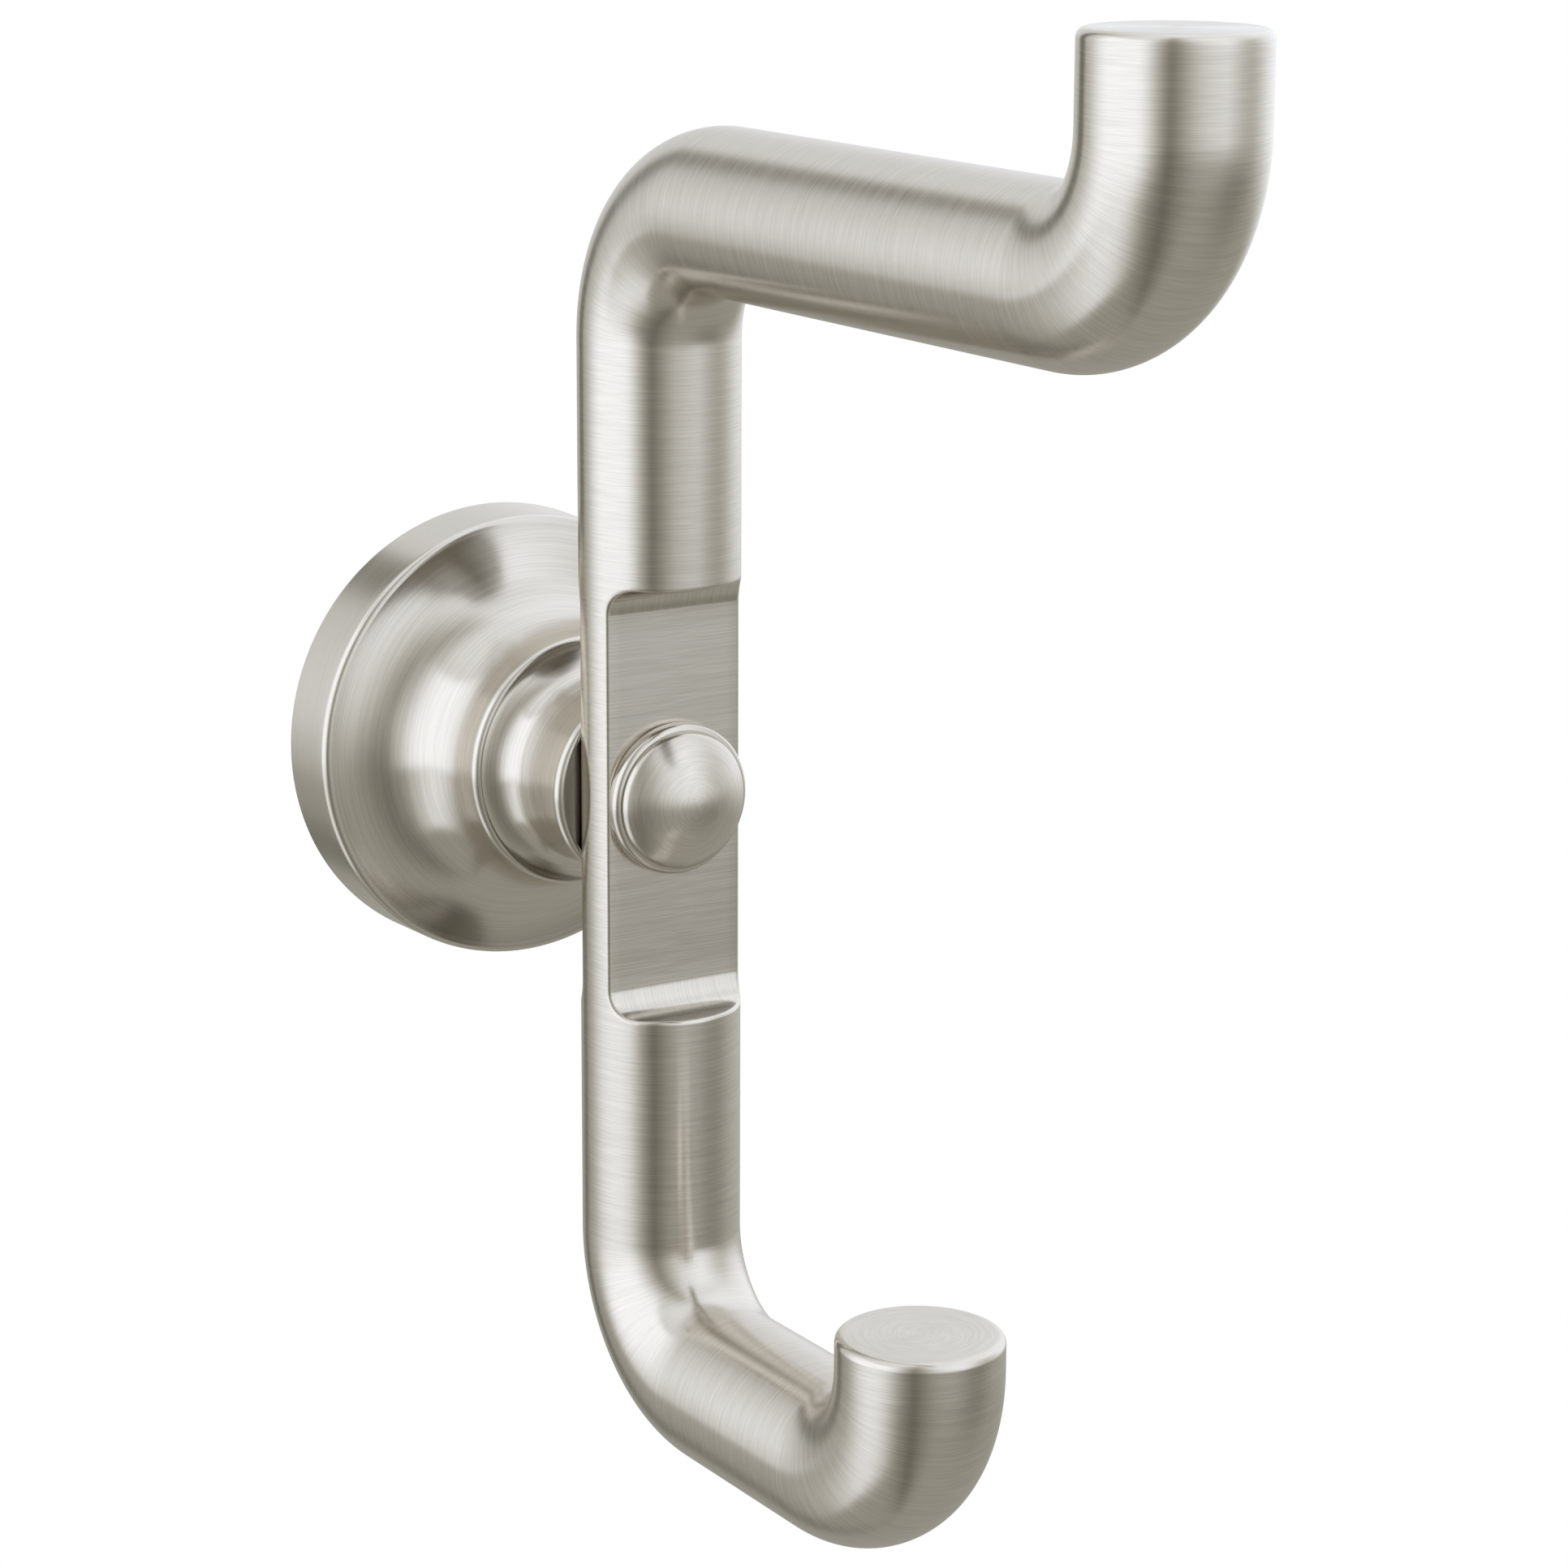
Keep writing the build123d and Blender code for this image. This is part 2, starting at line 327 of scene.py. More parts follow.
# shader help
class Nodes:
    """Short calls that add linked nodes to one node tree."""

    def __init__(self, tree: bpy.types.NodeTree) -> None:
        """Keep the tree that the nodes go into."""
        self.tree = tree

    def add(
        self, kind: str, inputs: dict[str | int, object] | None = None, **settings: object
    ) -> bpy.types.Node:
        """Add a node.

        Args:
            kind: Its type.
            inputs: What feeds its inputs, by their names or numbers: outputs or plain values.
            settings: Its properties.

        Returns:
            The node.
        """
        node = self.tree.nodes.new(kind)
        for key, value in settings.items():
            setattr(node, key, value)
        for key, value in (inputs or {}).items():
            self.feed(node.inputs[key], value)
        return node

    def feed(self, socket: bpy.types.NodeSocket, value: object) -> None:
        """Feed an input.

        Args:
            socket: The input.
            value: An output to link to it, or a plain value.
        """
        if isinstance(value, bpy.types.NodeSocket):
            self.tree.links.new(value, socket)
        else:
            socket.default_value = value

    def math(self, operation: str, *values: object, clamp: bool = False) -> bpy.types.NodeSocket:
        """Return the result of a Math node."""
        inputs = dict(enumerate(values))
        return self.add("ShaderNodeMath", inputs, operation=operation, use_clamp=clamp).outputs[0]

    def vector(self, operation: str, *values: object) -> bpy.types.Node:
        """Return a Vector Math node."""
        return self.add("ShaderNodeVectorMath", dict(enumerate(values)), operation=operation)

    def ramp(
        self, value: object, low: float, high: float, to_low: object = 0.0, to_high: object = 1.0
    ) -> bpy.types.NodeSocket:
        """Map a value smoothly from one range to another.

        Args:
            value: The value.
            low: Where its range starts.
            high: Where its range ends.
            to_low: Result up to the start.
            to_high: Result from the end on.

        Returns:
            The mapped value.
        """
        inputs = {
            "Value": value,
            "From Min": low,
            "From Max": high,
            "To Min": to_low,
            "To Max": to_high,
        }
        node = self.add("ShaderNodeMapRange", inputs, interpolation_type="SMOOTHSTEP")
        return node.outputs["Result"]

    def step(
        self, value: object, edge: float, soft: float, falls: bool = False
    ) -> bpy.types.NodeSocket:
        """Return a soft step over an edge, up to 1 or down from 1 where it falls."""
        ends = (1.0, 0.0) if falls else (0.0, 1.0)
        return self.ramp(value, edge - soft / 2, edge + soft / 2, *ends)

    def mix(self, share: object, first: object, second: object) -> bpy.types.NodeSocket:
        """Mix two colours.

        Args:
            share: Share of the second colour.
            first: The first colour.
            second: The second colour.

        Returns:
            The mixed colour.
        """
        node = self.add("ShaderNodeMix", {"Factor": share}, data_type="RGBA")
        for socket, colour in zip((s for s in node.inputs if s.type == "RGBA"), (first, second)):
            self.feed(socket, colour)
        return next(s for s in node.outputs if s.type == "RGBA")

    def blend(self, share: object, first: object, second: object) -> bpy.types.NodeSocket:
        """Return first * (1 - share) + second * share for plain values."""
        change = self.math("SUBTRACT", second, first)
        return self.math("MULTIPLY_ADD", change, share, first)

    def noise(
        self, place: bpy.types.NodeSocket, scale: float = 1.0, detail: float = 0.0
    ) -> bpy.types.NodeSocket:
        """Return the value of a noise texture at a place."""
        inputs = {"Vector": place, "Scale": scale, "Detail": detail}
        return self.add("ShaderNodeTexNoise", inputs).outputs["Fac"]

    def split(self, vector: bpy.types.NodeSocket) -> bpy.types.bpy_prop_collection:
        """Return the three values of a vector."""
        return self.add("ShaderNodeSeparateXYZ", {0: vector}).outputs

    def own_place(self) -> bpy.types.NodeSocket:
        """Return the place in the piece's own coordinates."""
        return self.add("ShaderNodeTexCoord").outputs["Object"]

    def bump(self, height: bpy.types.NodeSocket, depth: float) -> bpy.types.NodeSocket:
        """Return the normal of a relief of a depth in millimetres."""
        return self.add("ShaderNodeBump", {"Height": height, "Distance": depth * MM}).outputs[0]

    def finish(self, kind: str, shader: bpy.types.NodeSocket) -> None:
        """End the tree with an output node of a kind."""
        self.add(kind, {"Surface": shader})


def new_material(name: str) -> tuple[bpy.types.Material, Nodes]:
    """Make an empty material.

    Args:
        name: Its name.

    Returns:
        The material and the helper that fills its nodes.
    """
    made = bpy.data.materials.new(name)
    made.use_nodes = True
    made.node_tree.nodes.clear()
    return made, Nodes(made.node_tree)


def shade(colour: tuple[float, float, float], level: float) -> tuple[float, ...]:
    """Return a colour at another level, at most white, with full alpha."""
    return tuple(min(1.0, part * level) for part in colour) + (1.0,)


def new_group(
    name: str, inputs: dict[str, float | tuple[float, ...]], outputs: dict[str, str]
) -> tuple[bpy.types.NodeTree, Nodes, bpy.types.Node, bpy.types.Node]:
    """Make a shader node group.

    Args:
        name: Its name.
        inputs: Input names with their plain values.
        outputs: Output names with their socket types.

    Returns:
        The group, its Nodes helper, its input node and its output node.
    """
    group = bpy.data.node_groups.new(name, "ShaderNodeTree")
    for key, value in inputs.items():
        kind = "NodeSocketVector" if isinstance(value, tuple) else "NodeSocketFloat"
        socket = group.interface.new_socket(name=key, in_out="INPUT", socket_type=kind)
        socket.default_value = value
    for key, kind in outputs.items():
        group.interface.new_socket(name=key, in_out="OUTPUT", socket_type=kind)
    nodes = Nodes(group)
    return group, nodes, nodes.add("NodeGroupInput"), nodes.add("NodeGroupOutput")


# finishes
class Stroke(Enum):
    """Which way the brush went over a surface."""

    AROUND = "around"
    ALONG = "along"


@dataclass(frozen=True)
class LineLayer:
    """One layer of brush lines.

    Attributes:
        lines: Lines per millimetre, side by side.
        cells: Lines that follow one another in a full turn.
        weight: Its share in the grain.
    """

    lines: float
    cells: float
    weight: float


# from fine to broad; the last one also gives the bands
BRUSH_LAYERS = (
    LineLayer(13.0, 13.0, 1.0),
    LineLayer(6.0, 9.0, 0.5),
    LineLayer(2.0, 6.0, 0.2),
)


def make_brush_grain() -> bpy.types.NodeTree:
    """Build the group that draws fine, straight brush lines.

    The lines follow the turn given by Turn, from 0 to 1, and lie side by side along Across in
    millimetres. A layer reads noise on a tall thin cylinder, (cos, sin, height), so that it
    closes on itself after a full turn: its girth is the number of cells in a turn and its height
    the number of lines across.

    Returns:
        A group with the outputs Grain, spread round 0, and Bands, from 0 to 1.
    """
    group, nodes, source, result = new_group(
        "brush_grain",
        {"Turn": 0.0, "Across": 0.0},
        {"Grain": "NodeSocketFloat", "Bands": "NodeSocketFloat"},
    )
    angle = nodes.math("MULTIPLY", source.outputs["Turn"], tau)
    cosine, sine = nodes.math("COSINE", angle), nodes.math("SINE", angle)
    grain: object = 0.0
    for layer in BRUSH_LAYERS:
        radius = layer.cells / tau
        place = nodes.add(
            "ShaderNodeCombineXYZ",
            {
                0: nodes.math("MULTIPLY", cosine, radius),
                1: nodes.math("MULTIPLY", sine, radius),
                2: nodes.math("MULTIPLY", source.outputs["Across"], layer.lines),
            },
        )
        bands = nodes.noise(place.outputs[0])
        centred = nodes.math("MULTIPLY_ADD", bands, 2.0, -1.0)
        grain = nodes.math("MULTIPLY_ADD", centred, layer.weight, grain)
    nodes.feed(result.inputs["Grain"], grain)
    nodes.feed(result.inputs["Bands"], bands)
    return group


@dataclass(frozen=True)
class Nickel:
    """Satin nickel with one brushing.

    Attributes:
        name: Name of the material.
        stroke: Which way the brush went.
        colour: Base colour.
        roughness: Mean roughness.
        pull: How much wider the gloss is across the lines than along them.
        spread: How far broad bands change the roughness.
        relief: Depth of the lines for the bump, in millimetres.
        tint: How far the lines change the colour.
        contrast: How sharply the lines set dark from light.
        inner: Level of the painted shade that darkens the metal where the hook's other faces
            mirror it.
        painted_shade_tone: Colour of that painted shade.
        painted_shade_reach: Distance from the wall up to which that painted shade holds, in
            millimetres.
    """

    name: str
    stroke: Stroke
    colour: tuple[float, float, float] = (0.653, 0.617, 0.549)
    roughness: float = 0.22
    pull: float = 0.69
    spread: float = 0.06
    relief: float = 0.0005
    tint: float = 0.065
    contrast: float = 0.9
    # painted shade: the metal's colour as other faces of the hook mirror it
    inner: float = 0.45
    painted_shade_tone: tuple[float, float, float] = (1.02, 1.0, 0.96)
    painted_shade_reach: float = 35.0

    def brush_place(self, nodes: Nodes) -> tuple[bpy.types.NodeSocket, bpy.types.NodeSocket]:
        """Return the places along and across the brush lines.

        Round the piece they are the two values of its map. Along it the millimetres of the map
        run with the lines, and the lines lie side by side along X.

        Args:
            nodes: The material's nodes.

        Returns:
            The share of a turn, and millimetres.
        """
        brush = nodes.split(nodes.add("ShaderNodeUVMap", uv_map="brush").outputs[0])
        if self.stroke is Stroke.AROUND:
            return brush[0], brush[1]
        along = nodes.math("MULTIPLY", brush[1], 1.0 / TURN_LENGTH)
        return along, nodes.math("DIVIDE", nodes.split(nodes.own_place())[0], MM)

    def tone(self, nodes: Nodes, lines: bpy.types.Node) -> bpy.types.NodeSocket:
        """Return the colour: light and dark brush lines, and painted shade where another face
        mirrors them.

        Args:
            nodes: The material's nodes.
            lines: The node that draws the brush lines.

        Returns:
            The colour.
        """
        grain = lines.outputs["Grain"]
        share = nodes.math("MULTIPLY_ADD", grain, self.contrast, 0.5, clamp=True)
        dark, light = (shade(self.colour, 1 + change) for change in (-self.tint, self.tint))
        colour = nodes.mix(share, dark, light)
        # painted shade: glossy rays that meet this metal nearer the wall than the reach see its
        # colour darkened to the inner level, which stands in for dark reflections between the
        # hook's faces
        depth = nodes.split(nodes.own_place())[1]
        behind = nodes.step(depth, -self.painted_shade_reach * MM, 2 * MM)
        path = nodes.add("ShaderNodeLightPath")
        mirrored = nodes.math("MULTIPLY", path.outputs["Is Glossy Ray"], behind)
        level = tuple(self.inner * part for part in self.painted_shade_tone)
        return nodes.mix(mirrored, colour, nodes.vector("MULTIPLY", colour, level).outputs[0])

    def material(self, grain: bpy.types.NodeTree) -> bpy.types.Material:
        """Build the material from the shared brush lines.

        Args:
            grain: The brush line group.

        Returns:
            The material.
        """
        made, nodes = new_material(self.name)
        place = dict(zip(("Turn", "Across"), self.brush_place(nodes)))
        lines = nodes.add("ShaderNodeGroup", place, node_tree=grain)
        tangent = nodes.add("ShaderNodeTangent", direction_type="UV_MAP", uv_map="brush")
        low = self.roughness - self.spread / 2
        gloss = nodes.add(
            "ShaderNodeBsdfPrincipled",
            {
                "Base Color": self.tone(nodes, lines),
                "Metallic": 1.0,
                "Roughness": nodes.math("MULTIPLY_ADD", lines.outputs["Bands"], self.spread, low),
                "Normal": nodes.bump(lines.outputs["Grain"], self.relief),
                "Anisotropic": self.pull,
                "Anisotropic Rotation": 0.25 if self.stroke is Stroke.AROUND else 0.0,
                "Tangent": tangent.outputs[0],
            },
        )
        nodes.finish("ShaderNodeOutputMaterial", gloss.outputs[0])
        return made


@dataclass(frozen=True)
class Hardware:
    """Plain screws and cast metal, mottled in the part's own coordinates.

    Attributes:
        name: Name of the material.
        colour: Base colour.
        roughness: Mean roughness.
        mottle: Spots per metre.
        relief: Depth of the surface grain in millimetres.
        detail: Finer layers of the spots.
        spread: How far the spots change the roughness.
        dark: Level of the dark spots.
        light: Level of the light spots.
    """

    name: str
    colour: tuple[float, float, float]
    roughness: float
    mottle: float
    relief: float
    detail: float = 4.0
    spread: float = 0.2
    dark: float = 0.85
    light: float = 1.12

    def material(self) -> bpy.types.Material:
        """Build the material from noise on Object coordinates.

        Returns:
            The material.
        """
        made, nodes = new_material(self.name)
        spots = nodes.noise(nodes.own_place(), self.mottle, self.detail)
        dark, light = (shade(self.colour, level) for level in (self.dark, self.light))
        low = self.roughness - self.spread / 2
        gloss = nodes.add(
            "ShaderNodeBsdfPrincipled",
            {
                "Base Color": nodes.mix(spots, dark, light),
                "Metallic": 1.0,
                "Roughness": nodes.math("MULTIPLY_ADD", spots, self.spread, low),
                "Normal": nodes.bump(spots, self.relief),
            },
        )
        nodes.finish("ShaderNodeOutputMaterial", gloss.outputs[0])
        return made


# the bent rod
@dataclass
class BarRow:
    """One ring of points round the bar.

    Attributes:
        centre: Its place on the path, as (reach, height).
        way: The path's direction there, as (reach, height).
        angle: Angles of its points.
        rho: Distances of its points from the path.
        height: Height over or under the strap's middle; endless outside the straight back.
    """

    centre: np.ndarray
    way: np.ndarray
    angle: np.ndarray
    rho: np.ndarray
    height: float = inf


@dataclass
class HookBar:
    """One round rod with four bends and a milled strap, as a tube of rows along its path.

    A point is the path's point plus rho times (cos a * X + sin a * E), where E is square to the
    path in its own plane. On the rod rho is the rod's radius, and on the strap it is the root of
    a rounded intersection of the rod with the two milled slots.

    The last fields set the grid: columns in a quarter turn, and those of them at which its runs
    end near the strap's edge; the height over which the columns even out again; chords of a bend
    and of the straight runs; chords up the flat, the cutter's curve and a rounded edge; shares
    down the end wall; radii of the rings on a tip's face; and places of the rows past a slot.
    """

    rod_r: float = 8.0
    axis_reach: float = 35.0
    arm_height: float = 58.65
    arm_drop: float = 58.65
    upper_reach: float = 116.0
    lower_reach: float = 82.15
    upper_rise: float = 21.5
    lower_rise: float = 16.85
    bend_r: float = 13.4
    tip_round: float = 0.85
    strap_half: float = 2.7
    flat_half: float = 18.95
    cutter_r: float = 2.65
    edge_round: float = 0.35
    quarter: int = 44
    crowded: tuple[int, int] = (14, 24)
    fade: float = 6.0
    bend_rows: int = 44
    run_rows: tuple[int, int, int, int, int] = (4, 10, 1, 16, 5)
    flat_rows: int = 8
    cutter_rows: int = 14
    edge_rows: int = 8
    wall_shares: tuple[float, ...] = (1.0, 0.75, 0.5, 0.25)
    face_radii: tuple[float, ...] = (0.8, 2.0, 3.5, 5.0, 6.3)
    beyond: tuple[float, ...] = (0.15, 0.4, 0.9, 1.8, 3.2, 5.5, 9.0, 14.0)

    @property
    def shoulder(self) -> float:
        """Height of the slots' end walls."""
        return self.flat_half + self.cutter_r

    @property
    def wall_foot(self) -> float:
        """Distance from the rod's axis at which the end wall meets the cutter's curve."""
        return self.strap_half + self.cutter_r

    def path_rows(self) -> tuple[np.ndarray, np.ndarray]:
        """Return the path's points and directions outside the strap, lower tip first.

        Straight runs are linear and each bend is a quarter circle round its centre.

        Returns:
            Two (rows, 2) arrays of (reach, height).
        """
        a, b = self.axis_reach, self.bend_r
        top, low = self.arm_height, -self.arm_drop
        lower_tip = (self.lower_reach, low + self.lower_rise)
        upper_tip = (self.upper_reach, top + self.upper_rise)
        rows = iter(self.run_rows)
        runs = [
            straight_points(lower_tip, (self.lower_reach, low + b), next(rows)),
            arc_points((self.lower_reach - b, low + b), b, 0, -90, self.bend_rows),
            straight_points((self.lower_reach - b, low), (a + b, low), next(rows)),
            arc_points((a + b, low + b), b, -90, -180, self.bend_rows),
            straight_points((a, low + b), (a, top - b), next(rows)),
            arc_points((a + b, top - b), b, 180, 90, self.bend_rows),
            straight_points((a + b, top), (self.upper_reach - b, top), next(rows)),
            arc_points((self.upper_reach - b, top + b), b, -90, 0, self.bend_rows),
            straight_points((self.upper_reach, top + b), upper_tip, next(rows)),
        ]
        points = join_profile(*runs)
        way = np.gradient(points, path_length(points), axis=0)
        return points, way / np.linalg.norm(way, axis=1)[:, None]

    def slot_rows(self) -> list[tuple[float, float]]:
        """Return the rows of the upper half of the strap.

        On the flat end wall rows lie at one height and share out the wall between its top and
        its foot. Elsewhere the share is 0.

        Returns:
            Pairs of (height, share down the end wall).
        """
        rows = [(h, 0.0) for h in np.linspace(0.0, self.flat_half, self.flat_rows + 1)]
        turn = quarter_angles(self.cutter_rows)[1:-1]
        rows += [(self.flat_half + self.cutter_r * sin(t), 0.0) for t in turn]
        rows += [(self.shoulder, share) for share in self.wall_shares]
        turn = quarter_angles(self.edge_rows)
        rows += [(self.shoulder + self.edge_round * (1 - cos(t)), 0.0) for t in turn]
        last = self.shoulder + self.edge_round
        return rows + [(last + d, 0.0) for d in self.beyond]

    def rounded(self, rho: np.ndarray, sine: np.ndarray, height: np.ndarray) -> np.ndarray:
        """Return the signed distance to the milled rod, negative inside.

        The rod's distance is rho - radius. A slot's is the cutter's radius minus the length of
        what lies short of its centre in depth and past its flat in height. The two are joined by
        a rounded maximum: the length of both, moved by the edge's radius, less that radius.

        Args:
            rho: Distances from the rod's axis.
            sine: Share of each that lies square to the strap.
            height: Heights.

        Returns:
            The signed distances.
        """
        depth = np.maximum(self.wall_foot - rho * sine, 0.0)
        past = np.maximum(height - self.flat_half, 0.0)
        rod = rho - self.rod_r
        slot = self.cutter_r - np.hypot(depth, past)
        r = self.edge_round
        both = (rod > -r) & (slot > -r)
        return np.where(both, np.hypot(rod + r, slot + r) - r, np.maximum(rod, slot))

    def solve(self, sine: np.ndarray, height: np.ndarray) -> np.ndarray:
        """Find rho where the signed distance is zero, by halving an interval that holds it.

        Args:
            sine: Share of rho that lies square to the strap.
            height: Heights.

        Returns:
            The distances from the rod's axis.
        """
        low = np.zeros_like(sine)
        high = np.full_like(sine, self.rod_r + NEAR)
        for _ in range(HALVINGS):
            middle = (low + high) / 2
            inside = self.rounded(middle, sine, height) < 0
            low = np.where(inside, middle, low)
            high = np.where(inside, high, middle)
        return (low + high) / 2

    def columns_at(self, height: float) -> np.ndarray:
        """Return the column angles of one row, crowded where the strap's edge passes.

        Each quarter turn has three runs: from the rod's side to the edge, over the edge, and
        from the edge to the middle of the flat.

        Args:
            height: The row's height over or under the strap's middle.

        Returns:
            The angles in radians.
        """
        r = self.edge_round
        past = min(max(height - self.flat_half, 0.0), self.cutter_r)
        half = self.wall_foot - sqrt(max(self.cutter_r**2 - past**2, 0.0))
        edge = (
            np.degrees(np.arcsin((half - r) / self.rod_r)),
            np.degrees(np.arcsin(half / (self.rod_r - r))),
        )
        fade = min(max((height - self.shoulder - r) / self.fade, 0.0), 1.0)
        runs = [0.0, *(n / self.quarter for n in self.crowded), 1.0]
        knots = [0.0, *(e * (1 - fade) + 90 * n * fade for e, n in zip(edge, runs[1:3])), 90.0]
        step = np.arange(self.quarter) / self.quarter
        part = np.interp(step, runs, knots)
        back = np.interp(1 - step, runs, knots)
        half_turn = np.concatenate([part, 180.0 - back])
        return np.radians(np.concatenate([half_turn, half_turn + 180.0]))

    def cap_profile(self) -> list[tuple[float, float]]:
        """Return a tip's face and round edge, as (depth below the face, radius)."""
        r, turn = self.tip_round, quarter_angles(self.edge_rows)
        edge = [(r * (1 - cos(t)), self.rod_r - r * (1 - sin(t))) for t in turn]
        return [(0.0, radius) for radius in self.face_radii] + edge

    def strap_rho(self, sine: np.ndarray, height: float, share: float) -> np.ndarray:
        """Return a strap row's distances from the rod's axis.

        Args:
            sine: Share of each distance that lies square to the strap.
            height: The row's height over or under the strap's middle.
            share: Share down the end wall, 0 away from it.

        Returns:
            The distances.
        """
        level = np.full(len(sine), height)
        if share > 0:
            foot = self.solve(sine, level - NEAR)
            rim = self.solve(sine, level + NEAR)
            return foot * share + rim * (1 - share)
        on_wall = abs(height - self.shoulder) < NEAR
        return self.solve(sine, level + NEAR if on_wall else level)

    def strap_rows(self) -> list[BarRow]:
        """Return the rows of the straight back.

        Returns:
            The rows, lowest first.
        """
        upper = self.slot_rows()
        rows = []
        for sign, chosen in ((-1.0, upper[:0:-1]), (1.0, upper)):
            for height, share in chosen:
                angle = self.columns_at(height)
                rho = self.strap_rho(np.abs(np.sin(angle)), height, share)
                centre = np.array([self.axis_reach, sign * height])
                rows.append(BarRow(centre, np.array([0.0, 1.0]), angle, rho, height))
        return rows

    def all_rows(self) -> list[BarRow]:
        """Return every row of the bar.

        Returns:
            The rows of lower tip, arm, strap, arm and upper tip.
        """
        points, way = self.path_rows()
        straight = np.isclose(points[:, 0], self.axis_reach, atol=NEAR)
        before = int(np.argmax(straight))
        after = len(straight) - 1 - int(np.argmax(straight[::-1]))
        even = self.columns_at(inf)
        cap = self.cap_profile()

        def ring(index: int, depth: float = 0.0, radius: float = self.rod_r) -> BarRow:
            """Return a plain round row at a point of the path, moved along it by a depth."""
            centre = points[index] + way[index] * depth
            return BarRow(centre, way[index], even, np.full(len(even), radius))

        return [
            *(ring(0, depth, radius) for depth, radius in cap),
            *(ring(index) for index in range(1, before + 1)),
            *self.strap_rows(),
            *(ring(index) for index in range(after, len(points) - 1)),
            *(ring(-1, -depth, radius) for depth, radius in cap[::-1]),
        ]

    def finish_numbers(self, rows: list[BarRow]) -> np.ndarray:
        """Return the material number of each cell.

        Args:
            rows: All rows of the bar.

        Returns:
            (rows - 1, columns) array: 1 on a slot's end, 2 on the flat and 0 elsewhere.
        """
        numbers = np.zeros((len(rows) - 1, len(rows[0].rho)), int)
        inner = self.rod_r - self.edge_round
        for index, (row, after) in enumerate(zip(rows, rows[1:])):
            low, high = sorted((row.height, after.height))
            if low >= self.flat_half - NEAR and high <= self.shoulder + NEAR:
                numbers[index] = np.where((row.rho + after.rho) / 2 < inner, 1, 0)
            elif high <= self.flat_half + NEAR:
                numbers[index] = np.where(row.rho < inner, 2, 0)
        return numbers

    def surface(self) -> Surface:
        """Return the whole bar, lower tip to upper tip, closed by a pole in each tip.

        Across the brush lines the length runs along the path on the rod, along the middle of
        the milled side on the strap and along the profile on the tips.

        Returns:
            The surface.
        """
        rows = self.all_rows()
        centre = np.array([[0.0, -row.centre[0], row.centre[1]] for row in rows])
        ahead = np.array([[0.0, -row.way[0], row.way[1]] for row in rows])
        angle = np.array([row.angle for row in rows])
        rho = np.array([row.rho for row in rows])
        right = np.array([1.0, 0.0, 0.0])
        side = np.cross(ahead, right)
        grid = (
            centre[:, None, :]
            + (rho * np.cos(angle))[..., None] * right
            + (rho * np.sin(angle))[..., None] * side[:, None, :]
        )
        line = path_length(centre)
        milled = path_length(centre + rho[:, self.quarter, None] * side)
        on_strap = np.flatnonzero([row.height < inf for row in rows])
        first, last = on_strap[0], on_strap[-1]
        across = line.copy()
        across[first : last + 1] = milled[first : last + 1] + line[first] - milled[first]
        across[last + 1 :] = line[last + 1 :] + across[last] - line[last]
        cap = self.cap_profile()
        left = path_length(np.array(cap))
        left = left[-1] - left
        across[: len(cap)] = across[len(cap) - 1] - left
        across[-len(cap) :] = across[-len(cap)] + left[::-1]
        return Surface(grid, across, False, centre[0], centre[-1], self.finish_numbers(rows))

    def build(self, finishes: list[bpy.types.Material]) -> bpy.types.Object:
        """Build the bar in place of its CAD node.

        Args:
            finishes: Materials of the rod, of the slots' ends and of the flat.

        Returns:
            The piece.
        """
        piece = build_piece("hook_bar_skin", self.surface(), finishes)
        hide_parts("hook_bar")
        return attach(piece, BODY)


